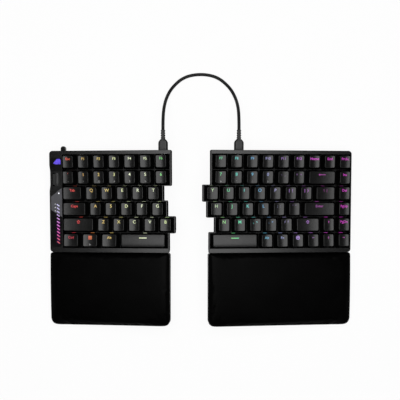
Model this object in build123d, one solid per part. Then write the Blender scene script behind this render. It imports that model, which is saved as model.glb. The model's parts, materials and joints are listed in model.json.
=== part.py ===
from build123d import *
import os
from math import cos, pi, radians, sin, tan

# A tented split keyboard in two halves, joined by a short cable, with a wrist rest for each half.
# Sizes are in millimetres. A value whose name ends in share or shares is a share of a named size.
# Each half is drawn in its own deck frame: x along the rows, y towards the back, z square to the
# switch plate, with z = 0 on the plate's top face and x = 0, y = 0 at the front left of the keys.

# Key grid, in pitches. Rows run from the back of the board to the front.
pitch = 19.05
row_count = 6
left_row_shares = [
    [1, 1, 1, 1, 1, 1, 1],
    [1, 1, 1, 1, 1, 1, 1],
    [1.5, 1, 1, 1, 1, 1],
    [1.75, 1, 1, 1, 1, 1],
    [2.25, 1, 1, 1, 1, 1],
    [1.25, 1.25, 1.25, 3.1],
]
left_start_shares = [0, 0, 0, 0, 0, 0]
right_row_shares = [
    [1, 1, 1, 1, 1, 1, 1, 1, 1],
    [1, 1, 1, 1, 1, 1, 2, 1],
    [1, 1, 1, 1, 1, 1, 1, 1.5, 1],
    [1, 1, 1, 1, 1, 1, 2.25, 1],
    [1, 1, 1, 1, 1, 1.75, 1, 1],
    [3.1, 1, 1, 1, 1, 1, 1],
]
right_start_shares = [0, 0, -0.5, -0.25, 0.25, -0.1]
row_names = ["function", "number", "upper", "home", "lower", "bottom"]

# Stance on the desk
tent_angle = 7.8
typing_angle = 2.5
gap_between_halves = 47.3
plate_front_height = 10.5
desk_gap = 1.6

# Upper case
rim_height = 6.5
inner_wall = 1.0
step_wall = 0.7
outer_wall = 1.2
bar_width = 16.25
front_bezel = 5.3
rear_bezel = 4.4
rear_slope = 1.6
split_height = 12.0
outer_corner_radius = 4.0
step_corner_radius = 1.0
rim_round = 0.45
bar_skin = 2.2
bar_side_wall = 2.4
bar_inner_wall = 1.5
bar_end_wall = 2.0
thumb_cut_depth = 1.1
thumb_cut_start = 68.5
thumb_cut_run = 8.5
thumb_cut_length = 33.5

# Lower case
draft_inset = 2.4
tray_wall = 1.4
tray_floor = 2.0
draft_top = 3.0
draft_depth = 21.0

# Plate, foam and board, stacked under the keys
plate_thickness = 1.5
plate_margin = 1.5
plate_end_margin = 0.4
foam_gap = 0.1
foam_margin = 0.3
board_depth = 5.0
board_thickness = 1.6
board_margin = 2.4
board_end_margin = 0.5
board_bar_margin = 3.6

# Switches
switch_body = 13.9
switch_hole = 14.0
foam_hole = 14.6
switch_flange = 15.6
flange_height = 1.0
housing_height = 6.4
housing_shoulder = 14.0
housing_top = 10.6
well_width = 7.2
well_length = 6.2
well_floor = 0.4
slider_width = 6.6
slider_length = 5.6
slider_depth = 0.9
cross_long = 4.0
cross_wide = 1.2
cross_narrow = 1.05
cross_height = 3.6
cross_clearance = 0.05

# Key caps. Heights and tilts run from the back row to the front row.
cap_gap = 0.95
cap_lift = 6.0
cap_heights = [9.2, 9.2, 8.2, 7.6, 7.6, 7.6]
cap_tilts = [5, 5, 2.5, 0, -3, -4]
cap_side_inset = 3.0
cap_end_inset = 1.95
cap_top_shift = 0.5
cap_corner_radius = 1.6
cap_inner_radius = 0.9
cap_wall = 1.4
cap_roof = 2.1
cap_edge_round = 0.45
dish_depth = 0.75
dish_overlap = 1.0
bar_crown_radius = 32.0
post_radius = 2.7
post_lift = 0.6
long_key_share = 3

# Stabilisers of the wide keys
stabiliser_share = 2
stabiliser_offset = 11.94
long_stabiliser_offset = 19.05
stabiliser_width = 6.4
stabiliser_back = 4.5
stabiliser_front = 9.0
stabiliser_top = 2.4
stabiliser_bottom = 3.6
stabiliser_clearance = 0.1
stabiliser_floor = 0.5
stabiliser_post = 2.6
stabiliser_well = 3.4
stabiliser_post_lift = 1.0
stabiliser_wire_radius = 0.6
stabiliser_wire_offset = 8.2
stabiliser_wire_height = 1.75

# Light guides beside the switches
light_width = 4.4
light_offset = 7.9
light_depth = 1.1
light_height = 1.3
light_round = 0.4

# Case screws, on the lines between rows, with the plate's standoffs above them
screw_radius = 1.0
screw_hole_radius = 1.05
screw_head_radius = 1.8
screw_head_height = 1.3
screw_seat_depth = 2.0
screw_length = 6.0
screw_drive_radius = 0.8
screw_drive_depth = 0.7
boss_radius = 2.5
boss_clearance = 0.2
standoff_radius = 2.0
left_screw_shares = [(1.1, 1), (6.3, 1), (3.6, 3), (0.55, 5), (3.5, 5), (6.45, 5)]
right_screw_shares = [(0.6, 1), (4.5, 1), (8.5, 1), (4.6, 3), (0.55, 5), (4.5, 5), (8.5, 5)]

# Roller in the control bar
roller_radius = 5.6
roller_length = 13.4
roller_from_edge = 7.4
roller_from_front = 83.97
roller_height = 2.6
roller_grooves = 22
groove_radius = 0.3
roller_slot_gap = 0.35
roller_slot_end_gap = 1.4
roller_slot_radius = 1.8
axle_radius = 0.75
axle_clearance = 0.05
axle_overhang = 0.6
bracket_ear = 1.2
bracket_ear_gap = 0.4
bracket_base = 0.8
bracket_width = 6.0
bracket_top_gap = 0.15

# Covers and lights on the control bar
cover_thickness = 1.2
cover_edge = 1.9
badge_panel_length = 16.4
badge_panel_gap = 1.6
badge_width = 9.4
badge_length = 6.6
badge_end = 1.2
badge_slant = 2.6
status_back_gap = 3.2
status_slant = 10.0
status_front_left = 46.5
status_front_right = 37.8
strip_front = 1.2
strip_corner = 2.4
slash_count = 12
slash_pitch = 4.15
slash_width = 1.15
slash_length = 4.3
slash_angle = -36
slash_start = 6.6
slash_from_edge = 5.6
dot_radius = 0.55
dot_from_edge = 9.3
dot_count = 3
dot_start_slot = 9.35
led_radius = 0.95
led_from_edge = 4.6
led_place = 66.8

# Battery on the floor of the left tray
battery_length = 62.0
battery_depth = 31.0
battery_height = 3.6
battery_x = 34.0
battery_y = 60.5
battery_round = 1.2

# USB-C sockets and plugs
socket_width = 8.94
socket_height = 3.2
socket_length = 7.4
socket_wall = 0.28
socket_tongue_width = 6.6
socket_tongue_height = 0.7
socket_back = 1.2
socket_inset = 0.7
port_clearance = 0.2
end_flat = 0.05
link_port_left = 122.6
link_port_right = 35.2
host_port_left = 22.0
plug_width = 11.6
plug_height = 6.4
plug_length = 11.2
plug_round = 2.6
plug_gap = 0.55
plug_shoulder = 4.6
plug_shoulder_width = 10.0
plug_shoulder_share = 0.45
plug_neck_width = 5.6
plug_tongue_width = 8.3
plug_tongue_height = 2.4
plug_tongue_wall = 0.45
plug_tongue_length = 5.6
relief_length = 11.4
relief_start_radius = 2.75
relief_end_radius = 2.6
relief_ribs = 4
relief_rib_height = 0.55
relief_rib_share = 0.62

# Link cable: its route's points in the part's own frame, without the two at each plug
cable_radius = 2.0
cable_lead = 13.0
cable_arc_share = 0.45
cable_points = [
    (-44.6, 157.5, 21.6),
    (-41.8, 171.0, 8.4),
    (-35.2, 184.0, 2.05),
    (-20.5, 197.0, 2.05),
    (0.4, 200.8, 2.05),
    (21.3, 197.0, 2.05),
    (36.4, 184.0, 2.05),
    (43.2, 171.0, 8.4),
    (46.2, 157.5, 21.6),
]

# Mode switch at the back of the left half
mode_x = -2.4
mode_travel = 2.5
mode_knob_width = 6.4
mode_knob_height = 4.2
mode_knob_reach = 8.4
mode_knob_inside = 3.2
mode_knob_round = 0.6
mode_clearance = 0.3
mode_body_width = 17.0
mode_body_length = 6.0
mode_slot_depth = 3.6
mode_blade_height = 1.8

# Feet of the case
pad_length = 24.0
pad_width = 7.0
pad_inset = 4.2
pad_round = 2.0
pad_end_inset = 12.0
tent_foot_length = 26.0
tent_foot_width = 15.0
tent_foot_taper = 2.4
tent_foot_round = 4.0
tent_foot_inset = 20.0
tent_peg_radius = 3.5
tent_peg_height = 1.3
tent_peg_gap = 0.2
foot_reach = 38.1

# Wrist rest
rest_gap = 0.4
rest_depth = 89.5
rest_overhang = 1.1
rest_tray_height = 4.5
rest_tray_inset = 0.8
rest_back_height = 15.6
rest_front_height = 11.4
rest_crown = 1.5
rest_back_radius = 3.0
rest_front_radius = 8.0
rest_top_round = 3.0
rest_inner_offset = 1.0
tongue_width = 14.0
tongue_length = 5.0
tongue_height = 2.4
tongue_lift = 1.3
tongue_clearance = 0.3
tongue_edge = 22.0

# Cutters run past what they cut by this much, and a slab across the whole part is this wide.
overrun = 2.0
field = 30 * pitch

# Edges and corners are picked when they lie this close to where they are meant to be.
near = 0.05

deck_rise = sin(radians(typing_angle))
deck_run = cos(radians(typing_angle))
deck_place = Pos(0, 0, plate_front_height) * Rot(X=typing_angle)
block_depth = row_count * pitch


class Half:
    """One half: its rows of keys, and which side of it faces the other half."""

    def __init__(self, name, rows, starts, inner_sign, outer_reach, screws, ports):
        self.name = name
        self.rows = rows
        self.starts = starts
        self.inner_sign = inner_sign
        self.outer_reach = outer_reach
        self.screws = [(x * pitch, y * pitch) for x, y in screws]
        self.ports = ports
        self.outer_block = 0 if inner_sign > 0 else max(self.ends()) * pitch

    def ends(self):
        return [start + sum(row) for start, row in zip(self.starts, self.rows)]

    def inner_edge(self, row):
        """The x of a row's end that faces the other half."""
        return (self.ends()[row] if self.inner_sign > 0 else self.starts[row]) * pitch

    def outer_x(self, reach):
        return self.outer_block - self.inner_sign * reach

    def keys(self, row):
        """The centre and width share of each key of a row."""
        found = []
        x = self.starts[row]
        y = (row_count - row - 0.5) * pitch
        for share in self.rows[row]:
            found.append(((x + share / 2) * pitch, y, share))
            x += share
        return found

    def all_keys(self):
        return [(row, *key) for row in range(row_count) for key in self.keys(row)]

    def place(self):
        """From the deck frame to the desk, before both halves are centred."""
        return self.base_place() * deck_place

    def base_place(self):
        """From the frame on the case's underside to the desk."""
        turn = -self.inner_sign * tent_angle
        outer = self.outer_x(self.outer_reach)
        lift = desk_gap - self.inner_sign * outer * sin(radians(tent_angle))
        edge = Rot(Y=turn) * Pos(self.inner_edge(0), 0, plate_front_height)
        side = -self.inner_sign * gap_between_halves / 2 - edge.position.X
        return Pos(side, 0, lift) * Rot(Y=turn)


left = Half(
    "left",
    left_row_shares,
    left_start_shares,
    1,
    bar_width,
    left_screw_shares,
    [link_port_left, host_port_left],
)
right = Half(
    "right",
    right_row_shares,
    right_start_shares,
    -1,
    outer_wall,
    right_screw_shares,
    [link_port_right],
)


def block(x, y, z):
    """A box between two values on each axis."""
    middle = ((x[0] + x[1]) / 2, (y[0] + y[1]) / 2, (z[0] + z[1]) / 2)
    return Pos(*middle) * Box(x[1] - x[0], y[1] - y[0], z[1] - z[0])


def base_slab(low, high):
    """In the deck frame, all between two heights over the case's underside."""
    return deck_place.inverse() * block((-field, field), (-field, field), (low, high))


def under_z(y, height=0):
    """The deck frame's z of a height over the underside, at a y."""
    return (height - plate_front_height - y * deck_rise) / deck_run


def outline(half, side, step, outer, front, rear):
    """The stepped plan of a half, each side moved out from the block of keys by its own amount."""
    sign = half.inner_sign
    points = [(half.outer_x(outer), -front), (half.inner_edge(row_count - 1) + sign * side, -front)]
    for row in range(row_count - 1, 0, -1):
        here = half.inner_edge(row)
        there = half.inner_edge(row - 1)
        if here != there:
            narrower = sign * there < sign * here
            y = (row_count - row) * pitch + (step if narrower else -step)
            points += [(here + sign * side, y), (there + sign * side, y)]
    points.append((half.inner_edge(0) + sign * side, block_depth + rear))
    points.append((half.outer_x(outer), block_depth + rear))
    return points


def plan(half, side, step, outer, front, rear, outer_radius=0, step_radius=0):
    """The face of an outline, with its outer and inner corners rounded."""
    face = make_face(Polyline(*outline(half, side, step, outer, front, rear), close=True))
    edge = half.outer_x(outer)
    if outer_radius:
        corners = [v for v in face.vertices() if abs(v.X - edge) < near]
        face = fillet(corners, outer_radius)
    if step_radius:
        inner = half.inner_sign
        corners = [v for v in face.vertices() if inner * (v.X - edge) > bar_width + pitch]
        if inner < 0:
            corners = [v for v in face.vertices() if edge - v.X > pitch]
        face = fillet(corners, step_radius)
    return face


def prism(face, low, high):
    return extrude(Pos(0, 0, low) * face, amount=high - low)


def tapered(half, shrink):
    """The drafted outside of the lower case, or its inside when shrunk by the wall."""
    sections = []
    for z, inset in ((draft_top, 0), (draft_top - draft_depth, draft_inset)):
        less = inset + shrink
        face = plan(
            half,
            inner_wall - less,
            step_wall - less,
            half.outer_reach - less,
            front_bezel - less,
            rear_bezel - rear_slope - less,
            outer_corner_radius - shrink,
            step_corner_radius,
        )
        sections.append(Pos(0, 0, z) * face)
    return loft(sections, ruled=True)


def screw_columns(half, radius, low, high):
    return [Pos(x, y, (low + high) / 2) * Cylinder(radius, high - low) for x, y in half.screws]


def port_box(x, width, height, z, inside, outside):
    """A rounded slot through the back wall for a socket or plug."""
    face = RectangleRounded(width, height, height / 2 - end_flat)
    y = block_depth
    return extrude(Pos(x, y + outside, z) * Rot(X=90) * face, amount=inside + outside)


port_z = -board_depth - board_thickness - socket_height / 2


def back_wall(z):
    """How far the drafted back wall stands behind the key block at a deck height."""
    return rear_bezel - rear_slope - draft_inset * (draft_top - z) / draft_depth


# Parts of the upper case


def bar_edge(distance):
    """The x of a place on the control bar, measured out from the keys."""
    return -distance


roller_y = roller_from_front
roller_x = bar_edge(roller_from_edge)
roller_slot_y = (
    roller_y - roller_length / 2 - roller_slot_end_gap,
    roller_y + roller_length / 2 + roller_slot_end_gap,
)
slot_half = (roller_radius**2 - (rim_height - roller_height) ** 2) ** 0.5 + roller_slot_gap
badge_panel_y = (
    roller_slot_y[1] + badge_panel_gap,
    roller_slot_y[1] + badge_panel_gap + badge_panel_length,
)
cover_x = (bar_edge(bar_width - cover_edge), bar_edge(cover_edge - cover_thickness))


def badge_panel_face():
    low, high = badge_panel_y
    return Pos((cover_x[0] + cover_x[1]) / 2, (low + high) / 2) * RectangleRounded(
        cover_x[1] - cover_x[0], high - low, cover_edge - cover_thickness
    )


def badge_face():
    """A slanted window, wider at its inner end."""
    right_x = cover_x[1] - badge_end
    left_x = right_x - badge_width
    top = badge_panel_y[1] - badge_end
    bottom = top - badge_length
    points = [
        (left_x, bottom + badge_slant / 2),
        (left_x + badge_slant, bottom),
        (right_x, bottom),
        (right_x, top - badge_slant / 2),
        (right_x - badge_slant / 2, top),
        (left_x + badge_width / 2, top),
    ]
    return fillet(make_face(Polyline(*points, close=True)).vertices(), badge_slant / 6)


def status_face():
    """The grey cover, between its two slanted ends."""
    back = roller_slot_y[0] - status_back_gap
    points = [
        (cover_x[0], back - status_slant),
        (cover_x[0], status_front_left),
        (cover_x[1], status_front_right),
        (cover_x[1], back),
        (cover_x[1] - cover_thickness, back),
    ]
    return make_face(Polyline(*points, close=True))


def strip_face():
    """The glossy black cover in front of the grey one."""
    points = [
        (cover_x[0], status_front_left),
        (cover_x[0], strip_front),
        (cover_x[1], strip_front),
        (cover_x[1], status_front_right),
    ]
    face = make_face(Polyline(*points, close=True))
    corners = [v for v in face.vertices() if abs(v.Y - strip_front) < near]
    return fillet(corners, strip_corner)


def slash_faces():
    x = bar_edge(slash_from_edge)
    bar = Rot(Z=slash_angle) * SlotOverall(slash_length, slash_width)
    return [Pos(x, slash_start + i * slash_pitch) * bar for i in range(slash_count)]


def dot_faces():
    """Three small level dots and the larger status light."""
    x = bar_edge(dot_from_edge)
    start = slash_start + dot_start_slot * slash_pitch
    faces = [Pos(x, start + i * slash_pitch) * Circle(dot_radius) for i in range(dot_count)]
    faces.append(Pos(bar_edge(led_from_edge), led_place) * Circle(led_radius))
    return faces


def upper_case(half):
    outer = plan(
        half,
        inner_wall,
        step_wall,
        half.outer_reach,
        front_bezel,
        rear_bezel,
        outer_corner_radius,
        step_corner_radius,
    )
    body = prism(outer, -board_depth, rim_height)
    body = fillet([e for e in body.edges() if abs(e.center().Z - rim_height) < near], rim_round)
    slope_y = block_depth + rear_bezel
    wedge = Polyline(
        (slope_y, rim_height - rear_bezel),
        (slope_y - rear_slope, -board_depth),
        (slope_y - rear_slope, -board_depth - overrun),
        (slope_y + overrun, -board_depth - overrun),
        (slope_y + overrun, rim_height - rear_bezel),
        close=True,
    )
    cutter = extrude(Plane.YZ * make_face(wedge), amount=field / 2, both=True)
    body -= cutter
    body -= base_slab(-field, split_height)
    body -= prism(plan(half, 0, 0, 0, 0, 0), -field, rim_height + overrun)
    if half is left:
        body = cut_control_bar(body)
    return body


def thumb_cut(low, high):
    """The shallow hollow in the left edge, beside the roller."""
    x = left.outer_x(bar_width)
    points = [
        (x - overrun, thumb_cut_start),
        (x, thumb_cut_start),
        (x + thumb_cut_depth, thumb_cut_start + thumb_cut_run),
        (x + thumb_cut_depth, thumb_cut_start + thumb_cut_length - thumb_cut_run),
        (x, thumb_cut_start + thumb_cut_length),
        (x - overrun, thumb_cut_start + thumb_cut_length),
    ]
    return prism(make_face(Polyline(*points, close=True)), low, high)


def cut_control_bar(body):
    """Hollows the bar from below and opens it for the roller and the covers."""
    body -= thumb_cut(-field, rim_height + overrun)
    x = (bar_edge(bar_width - bar_side_wall), bar_edge(bar_inner_wall))
    y = (bar_end_wall - front_bezel, block_depth + rear_bezel - rear_slope - bar_end_wall)
    body -= block(x, y, (-field, rim_height - bar_skin))
    slot = RectangleRounded(2 * slot_half, roller_slot_y[1] - roller_slot_y[0], roller_slot_radius)
    slot = Pos(roller_x, sum(roller_slot_y) / 2) * slot
    body -= prism(slot, 0, rim_height + overrun)
    room = Cylinder(roller_radius + roller_slot_gap, roller_slot_y[1] - roller_slot_y[0])
    body -= Pos(roller_x, sum(roller_slot_y) / 2, roller_height) * Rot(X=90) * room
    for face in (badge_panel_face(), status_face(), strip_face()):
        body -= prism(face, rim_height - cover_thickness, rim_height + overrun)
    return body


# Parts of the lower case


def lower_case(half):
    body = tapered(half, 0) & base_slab(0, split_height)
    body -= tapered(half, tray_wall) & base_slab(tray_floor, split_height + overrun)
    under = base_slab(-field, 0)
    roof = -board_depth - board_thickness
    for x, y in half.screws:
        low = under_z(y) - overrun
        column = Pos(x, y, (low + roof) / 2) * Cylinder(boss_radius, roof - low)
        body += column - under
    seat = roof - screw_seat_depth
    for hole in screw_columns(half, screw_hole_radius, -field, field):
        body -= hole
    for hole in screw_columns(half, screw_head_radius + boss_clearance, -field, seat):
        body -= hole
    for x in half.ports:
        body -= port_box(
            x,
            socket_width + port_clearance,
            socket_height + port_clearance,
            port_z,
            -back_wall(port_z) + tray_wall + overrun,
            back_wall(port_z) + overrun,
        )
    for x in rest_tongues(half):
        body -= deck_place.inverse() * tongue(x, tongue_clearance)
    for x, y in tent_feet_places(half):
        peg = Pos(x, y, 0) * Cylinder(tent_peg_radius + tent_peg_gap, 2 * (tent_peg_height + tent_peg_gap))
        body -= deck_place.inverse() * peg
    if half is left:
        body -= thumb_cut(-field, field)
        width = mode_knob_width / 2 + mode_travel + mode_clearance
        height = mode_blade_height / 2 + mode_clearance
        body -= block(
            (mode_x - width, mode_x + width),
            (block_depth - overrun, block_depth + rear_bezel + overrun),
            (port_z - height, port_z + height),
        )
    return body


# Plate, foam and board


def cut_rows(half, face, size):
    """A face with a square opening for each switch."""
    for _, x, y, _ in half.all_keys():
        face -= Pos(x, y) * Rectangle(size, size)
    return face


def stabiliser_places(half):
    """The centre of each stabiliser block, in pairs."""
    pairs = []
    for _, x, y, share in half.all_keys():
        if share >= stabiliser_share:
            offset = long_stabiliser_offset if share > long_key_share else stabiliser_offset
            pairs.append(((x - offset, y), (x + offset, y)))
    return pairs


def cut_stabilisers(half, face, clearance):
    size = (stabiliser_width + 2 * clearance, stabiliser_back + stabiliser_front + 2 * clearance)
    for pair in stabiliser_places(half):
        for x, y in pair:
            face -= Pos(x, y + (stabiliser_back - stabiliser_front) / 2) * Rectangle(*size)
    return face


def switch_plate(half):
    face = plan(half, -plate_margin, -plate_margin, -plate_margin, -plate_end_margin, -plate_end_margin)
    face = cut_stabilisers(half, cut_rows(half, face, switch_hole), stabiliser_clearance)
    body = prism(face, -plate_thickness, 0)
    low = -board_depth
    high = -plate_thickness
    for column in screw_columns(half, standoff_radius, low, high):
        body += column
    for hole in screw_columns(half, screw_hole_radius, low - overrun, -plate_thickness / 2):
        body -= hole
    return body


def damping_foam(half):
    margin = plate_margin + foam_margin
    face = plan(half, -margin, -margin, -margin, -margin, -margin)
    face = cut_stabilisers(half, cut_rows(half, face, foam_hole), foam_margin)
    for x, y in half.screws:
        face -= Pos(x, y) * Circle(standoff_radius + foam_gap)
    return prism(face, foam_gap - board_depth, -plate_thickness - foam_gap)


def circuit_board(half):
    margin = -board_margin
    bar = bar_width - board_bar_margin if half is left else margin
    face = plan(half, margin, margin, bar, -board_end_margin, -board_end_margin)
    body = prism(face, -board_depth - board_thickness, -board_depth)
    for hole in screw_columns(half, screw_hole_radius + boss_clearance, -field, field):
        body -= hole
    return body


# Switches


def housing():
    """The fixed shell of one switch, open at the top for its slider."""
    lower = Pos(0, 0, -board_depth / 2) * Box(switch_body, switch_body, board_depth)
    flange = Pos(0, 0, flange_height / 2) * Box(switch_flange, switch_flange, flange_height)
    shoulder = Pos(0, 0, flange_height) * Rectangle(housing_shoulder, housing_shoulder)
    top = Pos(0, 0, housing_height) * Rectangle(housing_top, housing_top)
    body = lower + flange + loft([shoulder, top], ruled=True)
    depth = housing_height + board_depth - well_floor
    well = Pos(0, 0, housing_height - depth / 2) * Box(well_width, well_length, depth)
    return body - well


def cross(long, wide, narrow, low, high):
    middle = (low + high) / 2
    return Pos(0, 0, middle) * (Box(long, wide, high - low) + Box(narrow, long, high - low))


def slider():
    """The moving stem, with the cross that the cap is pressed on."""
    depth = housing_height + slider_depth
    body = Pos(0, 0, housing_height - depth / 2) * Box(slider_width, slider_length, depth)
    return body + cross(cross_long, cross_wide, cross_narrow, housing_height, housing_height + cross_height)


def cap(share, row):
    """One hollow key cap on its post: dished along the row, or crowned on a long bar."""
    width = share * pitch - cap_gap
    depth = pitch - cap_gap
    height = cap_heights[row]
    top = Pos(0, cap_top_shift, height) * Rot(X=cap_tilts[row])
    top_width = width - 2 * cap_side_inset
    top_depth = depth - 2 * cap_end_inset
    body = loft([Rectangle(width, depth), top * Rectangle(top_width, top_depth)], ruled=True)
    corners = [e for e in body.edges() if abs(e.center().Z - height / 2) < height / 4]
    body = fillet(corners, cap_corner_radius)
    if share > long_key_share:
        crown = Pos(0, 0, -bar_crown_radius) * Rot(Y=90) * Cylinder(bar_crown_radius, 2 * width)
        body = body & (top * crown)
    else:
        chord = top_width + dish_overlap
        radius = chord**2 / (8 * dish_depth) + dish_depth / 2
        dish = Pos(0, 0, radius - dish_depth) * Rot(X=90) * Cylinder(radius, 2 * depth)
        body = body - top * dish
    upper = body.faces().sort_by(Axis.Z)[-1]
    body = fillet(upper.edges(), cap_edge_round)
    ceiling = height - cap_roof
    share_up = ceiling / height
    floor_face = RectangleRounded(width - 2 * cap_wall, depth - 2 * cap_wall, cap_inner_radius)
    roof_face = Pos(0, cap_top_shift * share_up, ceiling) * RectangleRounded(
        width - 2 * (cap_wall + cap_side_inset * share_up),
        depth - 2 * (cap_wall + cap_end_inset * share_up),
        cap_inner_radius,
    )
    body -= loft([floor_face, roof_face], ruled=True)
    body += Pos(0, 0, (post_lift + ceiling) / 2) * Cylinder(post_radius, ceiling - post_lift)
    socket_top = housing_height + cross_height + cap_gap / 2 - cap_lift
    grown = 2 * cross_clearance
    body -= cross(cross_long + grown, cross_wide + grown, cross_narrow + grown, 0, socket_top)
    if share >= stabiliser_share:
        offset = long_stabiliser_offset if share > long_key_share else stabiliser_offset
        low = stabiliser_post_lift - cap_lift
        size = (stabiliser_post, stabiliser_post, ceiling - low)
        for x in (-offset, offset):
            body += Pos(x, 0, (low + ceiling) / 2) * Box(*size)
    return body


cap_store = {}


def keys_of(half, row, wanted):
    """The caps and sliders of the keys of a row whose width share is wanted."""
    solids = []
    for x, y, share in half.keys(row):
        if not wanted(share):
            continue
        if (share, row) not in cap_store:
            cap_store[(share, row)] = cap(share, row)
        solids.append(Pos(x, y, cap_lift) * cap_store[(share, row)])
        solids.append(Pos(x, y, 0) * key_slider)
    return solids


def stabilisers(half):
    """Blocks and wire of each wide key, fixed in the plate."""
    solids = []
    depth = stabiliser_top + stabiliser_bottom
    middle_y = (stabiliser_back - stabiliser_front) / 2
    for pair in stabiliser_places(half):
        body = None
        for x, y in pair:
            shell = Pos(x, y + middle_y, stabiliser_top - depth / 2) * Box(
                stabiliser_width, stabiliser_back + stabiliser_front, depth
            )
            well = Pos(x, y, stabiliser_top - (depth - stabiliser_floor) / 2) * Box(
                stabiliser_well, stabiliser_well, depth - stabiliser_floor
            )
            shell -= well
            body = shell if body is None else body + shell
        (x0, y), (x1, _) = pair
        wire = Cylinder(stabiliser_wire_radius, x1 - x0)
        body += Pos((x0 + x1) / 2, y - stabiliser_wire_offset, stabiliser_wire_height) * Rot(Y=90) * wire
        solids.append(body)
    return solids


def key_light():
    """One light guide, standing on the plate in the gap behind a key."""
    size = (light_width, light_depth, light_height)
    body = Pos(0, light_offset + light_depth / 2, light_height / 2) * Box(*size)
    ends = body.edges().filter_by(Axis.Z)
    return fillet(ends, light_round)


# Fasteners and feet


def case_screws(half):
    """Pan-head screws up through the bosses and the board into the plate's standoffs."""
    seat = -board_depth - board_thickness - screw_seat_depth
    shank = Pos(0, 0, seat + screw_length / 2) * Cylinder(screw_radius, screw_length)
    head = Pos(0, 0, seat - screw_head_height / 2) * Cylinder(screw_head_radius, screw_head_height)
    drive = Pos(0, 0, seat - screw_head_height) * Box(
        2 * screw_drive_radius, screw_drive_depth, 2 * screw_drive_depth
    )
    screw = shank + head - drive - Rot(Z=90) * drive
    return [Pos(x, y, 0) * screw for x, y in half.screws]


def above_desk(half, solid, place):
    """A foot cut flat where it stands on the desk."""
    standing = place * solid
    low = block((-field, field), (-field, field), (-field, 0))
    return standing - low


def foot_pad_places(half):
    """Outer pads under the case, in the underside's frame."""
    x = half.outer_x(half.outer_reach - pad_inset - draft_inset)
    return [(x, pad_end_inset), (x, block_depth - pad_end_inset)]


def tent_feet_places(half):
    x = half.inner_edge(row_count - 1) - half.inner_sign * tent_foot_inset
    back = half.inner_edge(0) - half.inner_sign * tent_foot_inset
    return [(x, pad_end_inset), (back, block_depth - pad_end_inset - tent_foot_width / 2)]


def pad(x, y):
    face = RectangleRounded(pad_width, pad_length, pad_round)
    return extrude(Pos(x, y, -foot_reach) * face, amount=foot_reach)


def tent_foot(x, y, peg):
    """A tapered foot, long enough to be cut at the desk, with a peg for the case."""
    crest = RectangleRounded(tent_foot_width, tent_foot_length, tent_foot_round)
    sole = Pos(0, 0, -foot_reach) * RectangleRounded(
        tent_foot_width - 2 * tent_foot_taper, tent_foot_length - 2 * tent_foot_taper, tent_foot_round
    )
    body = loft([sole, crest], ruled=True)
    if peg:
        body += Pos(0, 0, tent_peg_height / 2) * Cylinder(tent_peg_radius, tent_peg_height)
    return Pos(x, y, 0) * body


# Control bar


def roller_parts():
    """The grooved roller, the pin through it, and the bracket on the board."""
    along = Pos(roller_x, roller_y, roller_height) * Rot(X=90)
    body = Cylinder(roller_radius, roller_length)
    rims = [e for e in body.edges() if e.geom_type == GeomType.CIRCLE]
    body = fillet(rims, groove_radius * 2)
    groove = Cylinder(groove_radius, 2 * roller_length)
    for turn in range(roller_grooves):
        body -= Rot(Z=turn * 360 / roller_grooves) * Pos(roller_radius, 0, 0) * groove
    body -= Cylinder(axle_radius, 2 * roller_length)
    span = roller_length + 2 * (bracket_ear + bracket_ear_gap + axle_overhang)
    axle = Cylinder(axle_radius, span)
    top = rim_height - bar_skin - bracket_top_gap
    inner = roller_length / 2 + bracket_ear_gap
    outer = inner + bracket_ear
    low = -board_depth
    half_width = bracket_width / 2
    frame = block((-half_width, half_width), (-outer, outer), (low, top))
    frame -= block((-bracket_width, bracket_width), (-inner, inner), (low + bracket_base, top + overrun))
    frame = Pos(roller_x, roller_y, 0) * frame
    frame -= along * Cylinder(axle_radius + axle_clearance, 2 * span)
    return along * body, along * axle, frame


def cover(face, cut_faces, low):
    body = prism(face, low, rim_height)
    for cut in cut_faces:
        body -= prism(cut, low, rim_height + overrun)
    return body


def strip_light_solids(low):
    return [prism(face, low, rim_height) for face in slash_faces() + dot_faces()]


# Ports and plugs


def rounded_bar(width, height, length):
    """A bar along y with fully rounded ends, as a USB-C shell has."""
    face = RectangleRounded(width, height, height / 2 - end_flat)
    return extrude(Pos(0, length, 0) * Rot(X=90) * face, amount=length)


def socket():
    """A USB-C socket whose mouth is at y = 0 and whose body runs towards the keys."""
    shell = rounded_bar(socket_width, socket_height, socket_length)
    bore = rounded_bar(socket_width - 2 * socket_wall, socket_height - 2 * socket_wall, socket_length)
    tongue_bar = block(
        (-socket_tongue_width / 2, socket_tongue_width / 2),
        (0, socket_length),
        (-socket_tongue_height / 2, socket_tongue_height / 2),
    )
    rear = block((-socket_width, socket_width), (socket_length - socket_back, field), (-field, field))
    body = shell - Pos(0, socket_back, 0) * bore + (tongue_bar - rear)
    return Pos(0, -socket_length, 0) * body


def socket_place(x):
    return Pos(x, block_depth + back_wall(port_z) - socket_inset, port_z)


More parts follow.
